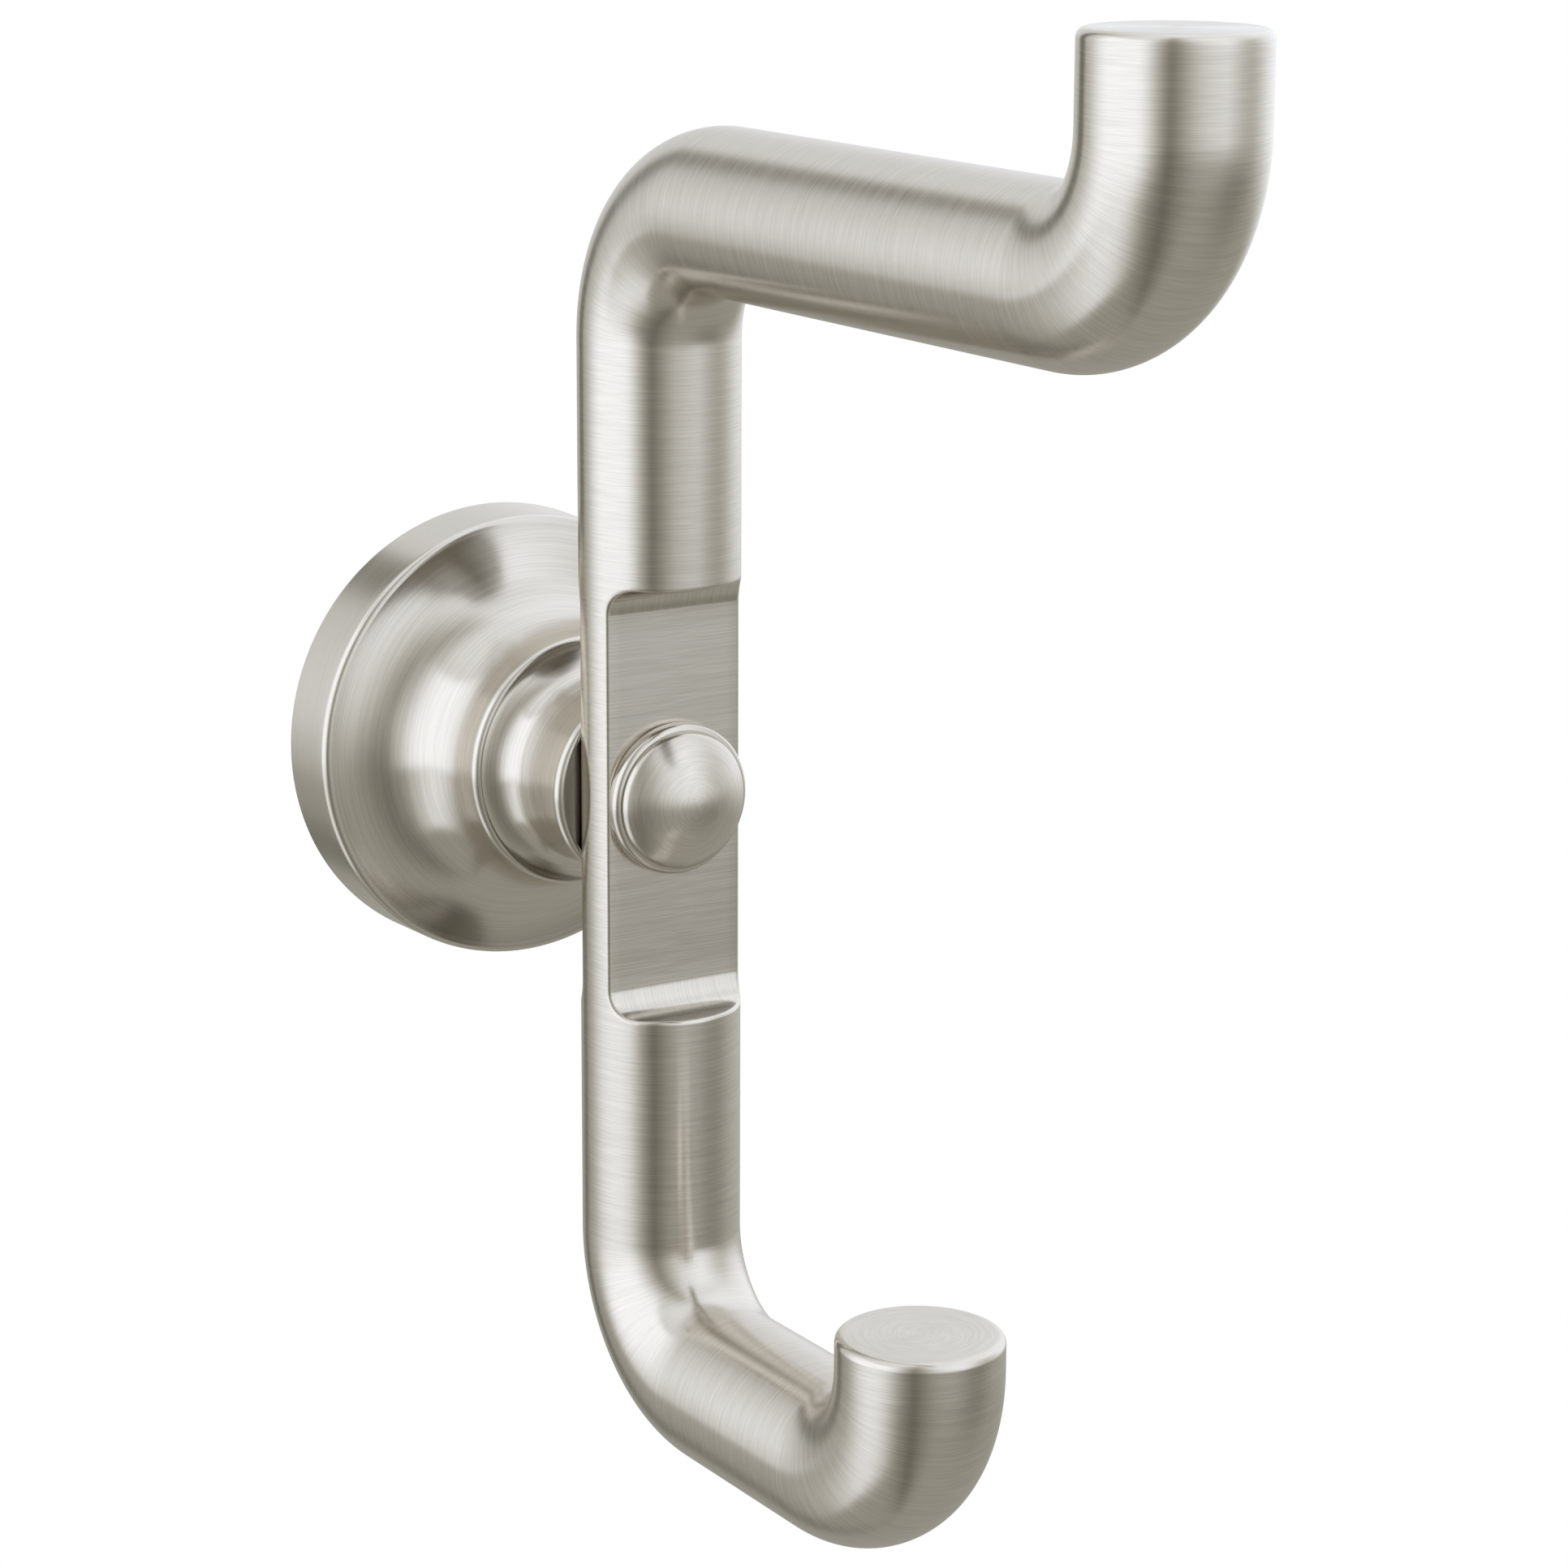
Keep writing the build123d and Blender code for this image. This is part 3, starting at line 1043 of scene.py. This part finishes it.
# turned pieces
@dataclass
class RoundBase:
    """The escutcheon: rim, round edge, hollow face, collar and the open back."""

    wall_r: float = 23.5
    face_r: float = 23.35
    rim_reach: float = 7.5
    rim_round: float = 0.8
    slope: float = 5.0
    collar_r: float = 13.0
    collar_reach: float = 20.402
    collar_round: float = 0.72
    shell: float = 2.0
    web: float = 2.2
    hole_r: float = 5.55
    smooth_width: float = 1.0
    columns: int = 256

    def cove(self, foot: tuple[float, float], neck_r: float) -> np.ndarray:
        """Return the hollow arc from a foot in to a neck, where it runs straight out.

        Args:
            foot: Radius and reach of its foot.
            neck_r: The neck's radius.

        Returns:
            Points of (radius, reach).
        """
        r = (foot[0] - neck_r) / (1 - sin(radians(self.slope)))
        centre = (neck_r + r, foot[1] + r * cos(radians(self.slope)))
        return arc_points(centre, r, 270 - self.slope, 180, 56)

    def profile(self) -> np.ndarray:
        """Return the closed outline.

        Returns:
            Points of (radius, reach).
        """
        edge_r = self.face_r - self.rim_round
        bore = self.face_r - self.shell
        neck = self.collar_r - self.shell
        outer = self.cove((edge_r, self.rim_reach), self.collar_r)
        inner = self.cove((bore, self.rim_reach - self.shell), neck)
        back = self.collar_reach - self.web
        rim = self.rim_reach - self.rim_round
        top = self.collar_reach - self.collar_round
        lip = self.collar_r - self.collar_round
        hole = [(self.hole_r, self.collar_reach), (self.hole_r, back), (neck, back)]
        foot = [(bore, self.rim_reach - self.shell), (bore, 0), (self.wall_r, 0)]
        return join_profile(
            straight_points((self.wall_r, 0), (self.face_r, rim), 6),
            arc_points((edge_r, rim), self.rim_round, 0, 90, 12),
            outer,
            straight_points(tuple(outer[-1]), (self.collar_r, top), 4),
            arc_points((lip, top), self.collar_round, 0, 90, 12),
            corner_points([(lip, self.collar_reach), *hole, tuple(inner[-1])], (3, 1, 3, 2)),
            inner[::-1],
            corner_points(foot, (4, 2))[:-1],
        )

    def build(self, finishes: list[bpy.types.Material]) -> bpy.types.Object:
        """Build the base in place of its CAD node; its rim and its edge are left smooth.

        Args:
            finishes: Materials of the face and of the rim.

        Returns:
            The piece.
        """
        profile = self.profile()
        surface = turn_profile(profile, self.columns, True)
        outside = profile[:, 0] > self.face_r - self.smooth_width
        rim = outside & (profile[:, 1] <= self.rim_reach + NEAR)
        number = np.where(rim & np.roll(rim, -1), 1, 0)
        surface.finish = np.broadcast_to(number[:, None], (len(number), self.columns)).copy()
        piece = build_piece("escutcheon_skin", surface, finishes)
        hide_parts("escutcheon")
        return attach(piece, BODY)


@dataclass
class Post:
    """The turned neck between the base and the strap.

    Each of its hollows is an arc's radius and the slope in degrees at which the arc ends.
    """

    foot_r: float = 12.25
    foot_reach: float = 20.402
    foot_lip: float = 0.04
    hollows: tuple[tuple[float, float], ...] = (
        (1.6, 31.0),
        (8.0, 37.0),
        (4.2, 55.0),
        (3.6, 84.0),
    )
    foot_slope: float = 12.0
    head_r: float = 10.4
    head_reach: float = 32.3
    head_round: float = 0.68
    land: float = 0.06
    recess: float = 0.42
    bore_r: float = 4.55
    spigot_r: float = 5.5
    spigot: float = 1.8
    columns: int = 224

    def neck(self) -> np.ndarray:
        """Return the hollow side from the foot's lip to the head's sharp corner.

        Hollow arcs follow one another, each from the slope at which the last one ends. The last
        arc of all runs from there to the head's corner: its chord leans by the mean of its first
        and last slope, which gives the last slope, and its radius is the chord over twice the
        sine of half the turn.

        Returns:
            Points of (radius, reach).
        """
        runs = []
        start, slope = (self.foot_r, self.foot_reach + self.foot_lip), self.foot_slope
        for radius, end in self.hollows:
            runs.append(hollow_points(start, radius, slope, end))
            start, slope = tuple(runs[-1][-1]), end
        gap = (start[0] - self.head_r, self.head_reach - start[1])
        mean = float(np.degrees(atan2(gap[1], gap[0])))
        radius = sqrt(gap[0] ** 2 + gap[1] ** 2) / (2 * sin(radians(mean - slope)))
        runs.append(hollow_points(start, radius, slope, 2 * mean - slope))
        return join_profile(*runs)

    def profile(self) -> np.ndarray:
        """Return the closed outline.

        Returns:
            Points of (radius, reach).
        """
        neck = self.neck()
        floor = self.head_reach - self.recess
        lean = atan2(neck[-1, 0] - neck[-2, 0], neck[-1, 1] - neck[-2, 1])
        edge = rounded_corner((self.head_r, self.head_reach), self.head_round, lean)
        recess_r = edge[-1, 0] - self.land
        side = neck[neck[:, 1] < edge[0, 1] - SMALL_STEP]
        back = self.foot_reach - self.spigot
        head = [tuple(edge[-1]), (recess_r, self.head_reach), (recess_r, floor)]
        bore = [(self.bore_r, floor), (self.bore_r, back)]
        spigot = [(self.spigot_r, back), (self.spigot_r, self.foot_reach)]
        foot = (self.foot_r, self.foot_reach)
        return join_profile(
            straight_points(foot, tuple(neck[0]), 1),
            side,
            edge,
            corner_points([*head, *bore, *spigot, foot], (1, 1, 6, 2, 1, 1, 2))[:-1],
        )

    def build(self, finishes: list[bpy.types.Material]) -> bpy.types.Object:
        """Build the post in place of its CAD node.

        Args:
            finishes: Its one material.

        Returns:
            The piece.
        """
        surface = turn_profile(self.profile(), self.columns, True)
        piece = build_piece("post_skin", surface, finishes)
        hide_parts("post")
        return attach(piece, BODY)


@dataclass
class DomeNut:
    """The collar ring on the strap, and the nut with its low dome."""

    strap_reach: float = 37.7
    ring_r: float = 7.6
    ring_thickness: float = 1.55
    ring_round: float = 0.65
    ring_back: float = 0.4
    dome_r: float = 6.87
    dome_rise: float = 2.79
    dome_side: float = 0.51
    dome_round: float = 0.9
    shank_r: float = 4.5
    shank_end: float = 24.3
    gap: float = 0.05
    bore_r: float = 2.55
    bore_end: float = 34.3
    columns: int = 160
    sharp: float = 30.0

    @property
    def seat(self) -> float:
        """Reach of the ring's face, on which the dome sits."""
        return self.strap_reach + self.ring_thickness

    def ring_profile(self) -> np.ndarray:
        """Return the ring's closed outline.

        Returns:
            Points of (radius, reach).
        """
        inner = self.shank_r + self.gap
        edge = (self.ring_r - self.ring_round, self.seat - self.ring_round)
        back = (self.ring_r - self.ring_back, self.strap_reach + self.ring_back)
        bore = [(edge[0], self.seat), (inner, self.seat), (inner, self.strap_reach)]
        return join_profile(
            straight_points((inner, self.strap_reach), (back[0], self.strap_reach), 2),
            arc_points(back, self.ring_back, -90, 0, 10),
            straight_points((self.ring_r, back[1]), (self.ring_r, edge[1]), 1),
            arc_points(edge, self.ring_round, 0, 90, 14),
            corner_points(bore, (2, 1))[:-1],
        )

    def nut_profile(self) -> np.ndarray:
        """Return the nut's outline from the middle of its dome to the end of its bore.

        Returns:
            Points of (radius, reach).
        """
        side = self.seat + self.dome_side
        ball = (self.dome_r**2 + self.dome_rise**2) / (2 * self.dome_rise)
        centre = (0.0, side + self.dome_rise - ball)
        edge_r = self.dome_r - self.dome_round
        edge_up = sqrt((ball - self.dome_round) ** 2 - edge_r**2)
        edge = (edge_r, centre[1] + edge_up)
        meet = float(np.degrees(atan2(edge_up, edge_r)))
        head = [(self.dome_r, edge[1]), (self.dome_r, self.seat)]
        shank = [(self.shank_r, self.seat), (self.shank_r, self.shank_end)]
        bore = [(self.bore_r, self.shank_end), (self.bore_r, self.bore_end), (0.0, self.bore_end)]
        return join_profile(
            arc_points(centre, ball, 90, meet, 36),
            arc_points(edge, self.dome_round, meet, 0, 14),
            corner_points([*head, *shank, *bore], (1, 1, 3, 1, 2, 1)),
        )

    def build(
        self, ring: list[bpy.types.Material], nut: list[bpy.types.Material]
    ) -> list[bpy.types.Object]:
        """Build ring and nut in place of their CAD nodes.

        Args:
            ring: The ring's one material.
            nut: The nut's one material.

        Returns:
            Both pieces.
        """
        ring_turned = turn_profile(self.ring_profile(), self.columns, True)
        nut_turned = turn_profile(self.nut_profile(), self.columns, False, (True, True))
        made = []
        for node, surface, finishes in (
            ("collar_ring", ring_turned, ring),
            ("dome_nut", nut_turned, nut),
        ):
            piece = build_piece(f"{node}_skin", surface, finishes, self.sharp)
            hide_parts(node)
            made.append(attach(piece, BODY))
        return made


# studio
@dataclass(frozen=True)
class Panel:
    """A soft-edged part of the studio's surroundings, seen from the hook.

    Attributes:
        azimuth: Its middle in degrees, 0 in front of the wall and 90 to the right.
        half_width: Half its width in degrees.
        soft_side: Width of its soft sides in degrees.
        low: Elevation of its lower edge.
        high: Elevation of its upper edge.
        soft_end: Height of its soft ends in degrees.
        level: Brightness, where 1 is white.
    """

    azimuth: float
    half_width: float
    soft_side: float
    low: float
    high: float
    soft_end: float
    level: float


@dataclass
class Studio:
    """Camera, floor and the light round the hook.

    The camera's place is in millimetres, floor and card are in metres and angles in degrees.
    Mirrors see white within the first angle of the backdrop from the view's axis, and the light
    past the second. The sky goes from the side's level to the top's between the two elevations
    of its rise, and the light from warm to cool between the two levels of the tone's range.
    """

    camera_at: tuple[float, float, float] = (-214.02, -397.23, 105.76)
    azimuth: float = -32.2496
    elevation: float = 14.0196
    roll: float = 0.2575
    focal_pixels: float = 5380.75
    frame_pixels: float = 1932.0
    sensor: float = 36.0
    clip: tuple[float, float] = (0.01, 200.0)
    floor_drop: float = 1.7
    floor_radius: float = 7.0
    floor_white: float = 0.98
    floor_colour: tuple[float, float, float] = (0.95, 0.95, 0.95)
    card_drop: float = 1.55
    card_radius: float = 30.0
    disc_columns: int = 96
    disc_rings: tuple[float, ...] = (0.02, 0.1, 0.3, 0.6, 1.0)
    backdrop: tuple[float, float] = (10.0, 20.0)
    top_level: float = 1.092
    side_level: float = 0.826
    low_level: float = 0.412
    horizon: float = -4.8
    horizon_soft: float = 23.3
    sky_rise: tuple[float, float] = (20.0, 70.0)
    tone_range: tuple[float, float] = (0.1, 1.3)
    warm: tuple[float, float, float] = (1.0, 0.97, 0.85)
    cool: tuple[float, float, float] = (1.0, 1.045, 1.15)
    panels: list[Panel] = field(
        default_factory=lambda: [
            Panel(111.2, 28.2, 45.3, -11.5, 97.3, 28.8, 1.223),
            Panel(43.3, 20.0, 37.1, -34.9, 22.6, 35.8, 0.246),
            Panel(25.1, 25.0, 89.1, -10.1, 54.0, 14.5, 1.318),
            Panel(211.0, 4.7, 27.7, -2.7, 71.4, 4.0, 0.626),
            Panel(260.2, 40.3, 45.0, -17.6, 41.1, 6.1, 1.412),
            Panel(257.1, 25.6, 44.2, -54.4, -16.2, 7.1, 1.097),
            Panel(188.7, 7.8, 5.8, -79.0, 47.8, 52.1, 0.203),
            Panel(319.2, 6.6, 65.7, -81.7, 78.0, 35.3, 0.048),
        ]
    )

    def light_group(self) -> bpy.types.NodeTree:
        """Build the group that gives the light from a direction.

        The level rises smoothly over the horizon and toward the top. Each panel is then laid on
        it, with the product of a soft window in azimuth and one in elevation as its share.

        Returns:
            The group.
        """
        group, nodes, source, result = new_group(
            "studio_light", {"Direction": (0.0, 0.0, 1.0)}, {"Color": "NodeSocketColor"}
        )
        unit = nodes.vector("NORMALIZE", source.outputs["Direction"])
        place = nodes.split(unit.outputs[0])
        to_degrees = 180 / pi
        rise = nodes.math("MULTIPLY", nodes.math("ARCSINE", place[2]), to_degrees)
        front = nodes.math("MULTIPLY", place[1], -1.0)
        turn = nodes.math("MULTIPLY", nodes.math("ARCTAN2", place[0], front), to_degrees)
        up = nodes.step(rise, self.horizon, self.horizon_soft)
        sky = nodes.ramp(rise, *self.sky_rise, self.side_level, self.top_level)
        level = nodes.blend(up, self.low_level, sky)
        for panel in self.panels:
            away = nodes.math("SUBTRACT", turn, panel.azimuth)
            away = nodes.math("ABSOLUTE", nodes.math("WRAP", away, -180.0, 180.0))
            wide = nodes.step(away, panel.half_width, panel.soft_side, True)
            low = nodes.step(rise, panel.low, panel.soft_end)
            high = nodes.step(rise, panel.high, panel.soft_end, True)
            share = nodes.math("MULTIPLY", wide, nodes.math("MULTIPLY", low, high))
            level = nodes.blend(share, level, panel.level)
        tone = nodes.ramp(level, *self.tone_range)
        colour = nodes.mix(tone, (*self.warm, 1.0), (*self.cool, 1.0))
        scaled = nodes.vector("SCALE", colour)
        nodes.feed(scaled.inputs["Scale"], level)
        nodes.feed(result.inputs["Color"], scaled.outputs[0])
        return group

    def mirror_share(self, nodes: Nodes) -> tuple[bpy.types.NodeSocket, bpy.types.NodeSocket]:
        """Tell rays apart.

        Args:
            nodes: The tree's nodes.

        Returns:
            1 for rays from gloss or glass, and 1 for rays from the camera.
        """
        path = nodes.add("ShaderNodeLightPath").outputs
        mirrored = nodes.math("MAXIMUM", path["Is Glossy Ray"], path["Is Transmission Ray"])
        return mirrored, path["Is Camera Ray"]

    def build_world(self, light: bpy.types.NodeTree) -> None:
        """Light the scene from all round, white where the picture's background is.

        Args:
            light: The group that gives the light from a direction.
        """
        world = bpy.data.worlds.new("studio")
        bpy.context.scene.world = world
        world.use_nodes = True
        world.node_tree.nodes.clear()
        nodes = Nodes(world.node_tree)
        place = nodes.add("ShaderNodeTexCoord").outputs["Generated"]
        lit = nodes.add("ShaderNodeGroup", {"Direction": place}, node_tree=light)
        away = tuple(-part for part in self.view_axes()[2])
        behind = nodes.vector("DOT_PRODUCT", place, away).outputs["Value"]
        inner, outer = (cos(radians(angle)) for angle in self.backdrop)
        mirrored, seen = self.mirror_share(nodes)
        share = nodes.math("MULTIPLY", mirrored, nodes.ramp(behind, outer, inner))
        white = nodes.math("MAXIMUM", share, seen)
        colour = nodes.mix(white, lit.outputs[0], WHITE)
        background = nodes.add("ShaderNodeBackground", {"Color": colour})
        nodes.finish("ShaderNodeOutputWorld", background.outputs[0])

    def disc(self, name: str, radius: float, drop: float) -> bpy.types.Object:
        """Make a level disc below the hook: rings of points at radius times (cos, sin).

        Args:
            name: Its name.
            radius: Its radius in metres.
            drop: How far it lies below the hook's middle, in metres.

        Returns:
            The disc.
        """
        angle = np.linspace(0.0, tau, self.disc_columns, endpoint=False)
        ring = np.stack([np.cos(angle), np.sin(angle), np.zeros(len(angle))], axis=1)
        middle = np.array([0.0, 0.0, -drop / MM])
        shares = np.array(self.disc_rings)
        rows = shares[:, None, None] * radius / MM * ring + middle
        made = build_piece(name, Surface(rows, shares * radius, False, middle), [])
        if made.data.polygons[0].normal.z < 0:
            made.data.flip_normals()
        return made

    def build_floor(self) -> None:
        """Make the pale floor that takes the shadow, white where a ray should see white."""
        made, nodes = new_material("floor_white")
        matt = nodes.add("ShaderNodeBsdfDiffuse", {"Color": (*self.floor_colour, 1.0)})
        plain = nodes.add("ShaderNodeEmission", {"Color": WHITE})
        mirrored, seen = self.mirror_share(nodes)
        share = nodes.math("MULTIPLY", nodes.math("MAXIMUM", seen, mirrored), self.floor_white)
        shaders = {0: share, 1: matt.outputs[0], 2: plain.outputs[0]}
        mixed = nodes.add("ShaderNodeMixShader", shaders)
        nodes.finish("ShaderNodeOutputMaterial", mixed.outputs[0])
        self.disc("floor", self.floor_radius, self.floor_drop).data.materials.append(made)

    def build_card(self, light: bpy.types.NodeTree) -> None:
        """Make the card over the floor, which darkens the hook's underside as the ground does.

        The camera, the shadow and soft light pass through it.

        Args:
            light: The group that gives the light from a direction.
        """
        made, nodes = new_material("ground_card")
        lit = nodes.add("ShaderNodeGroup", {"Direction": nodes.own_place()}, node_tree=light)
        glow = nodes.add("ShaderNodeEmission", {"Color": lit.outputs[0]})
        nodes.finish("ShaderNodeOutputMaterial", glow.outputs[0])
        card = self.disc("ground_card", self.card_radius, self.card_drop)
        card.data.materials.append(made)
        card.visible_camera = False
        card.visible_shadow = False
        card.visible_diffuse = False

    def view_axes(self) -> tuple[Vector, Vector, Vector]:
        """Return the camera's directions.

        Returns:
            Right, up and backward.
        """
        a, e, r = radians(self.azimuth), radians(self.elevation), radians(self.roll)
        back = Vector((sin(a) * cos(e), -cos(a) * cos(e), sin(e)))
        level = Vector((cos(a), sin(a), 0.0))
        over = back.cross(level)
        right = level * cos(r) + over * sin(r)
        up = over * cos(r) - level * sin(r)
        return right, up, back

    def build_camera(self) -> None:
        """Put the camera at the photograph's place, looking the same way."""
        right, up, back = self.view_axes()
        data = bpy.data.cameras.new("camera")
        data.sensor_width = self.sensor
        data.lens = self.focal_pixels * self.sensor / self.frame_pixels
        data.clip_start, data.clip_end = self.clip
        camera = bpy.data.objects.new("camera", data)
        turn = Matrix((right, up, back)).transposed().to_4x4()
        camera.matrix_world = Matrix.Translation(Vector(self.camera_at) * MM) @ turn
        bpy.context.scene.collection.objects.link(camera)
        bpy.context.scene.camera = camera

    def build(self) -> None:
        """Build world, floor, card and camera."""
        light = self.light_group()
        self.build_world(light)
        self.build_floor()
        self.build_card(light)
        self.build_camera()
        bpy.context.scene.view_settings.view_transform = "Standard"
        LOG.info("studio: %d panels", len(self.panels))


def dress_hardware() -> None:
    """Give the hidden fasteners and the bracket their own metals."""
    steel = Hardware("zinc_steel", (0.5, 0.5, 0.51), 0.35, 900.0, 0.01).material()
    cast = Hardware("cast_zinc", (0.36, 0.36, 0.37), 0.5, 600.0, 0.06).material()
    for node, material in (
        ("clamp_screw", steel),
        ("spring_washer", steel),
        ("set_screw", steel),
        ("wall_bracket", cast),
    ):
        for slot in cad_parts[node].material_slots:
            slot.material = material
        LOG.info("%s: dressed", node)


def main() -> None:
    """Build the pieces in order, then the studio."""
    logging.basicConfig(level=logging.INFO, format="%(name)s %(message)s")
    grain = make_brush_grain()
    # every nickel carries painted shade where other faces mirror it: level 0.45 by default, 0.95
    # on the turned and smooth metal
    rod = Nickel("nickel_rod", Stroke.AROUND).material(grain)
    slot = Nickel("nickel_slot_end", Stroke.ALONG, painted_shade_reach=60.0).material(grain)
    strap = Nickel("nickel_strap", Stroke.AROUND).material(grain)
    turned = Nickel("nickel_turned", Stroke.AROUND, inner=0.95, painted_shade_reach=60.0).material(grain)
    dome = Nickel(
        "nickel_dome", Stroke.AROUND, roughness=0.25, pull=0.3, painted_shade_reach=60.0
    ).material(grain)
    smooth = Nickel(
        "nickel_smooth",
        Stroke.AROUND,
        pull=0.0,
        relief=0.0001,
        tint=0.02,
        inner=0.95,
        painted_shade_reach=60.0,
    ).material(grain)
    HookBar().build([rod, slot, strap])
    RoundBase().build([turned, smooth])
    Post().build([turned])
    DomeNut().build([smooth], [dome])
    dress_hardware()
    Studio().build()


if __name__ == "__main__":
    main()
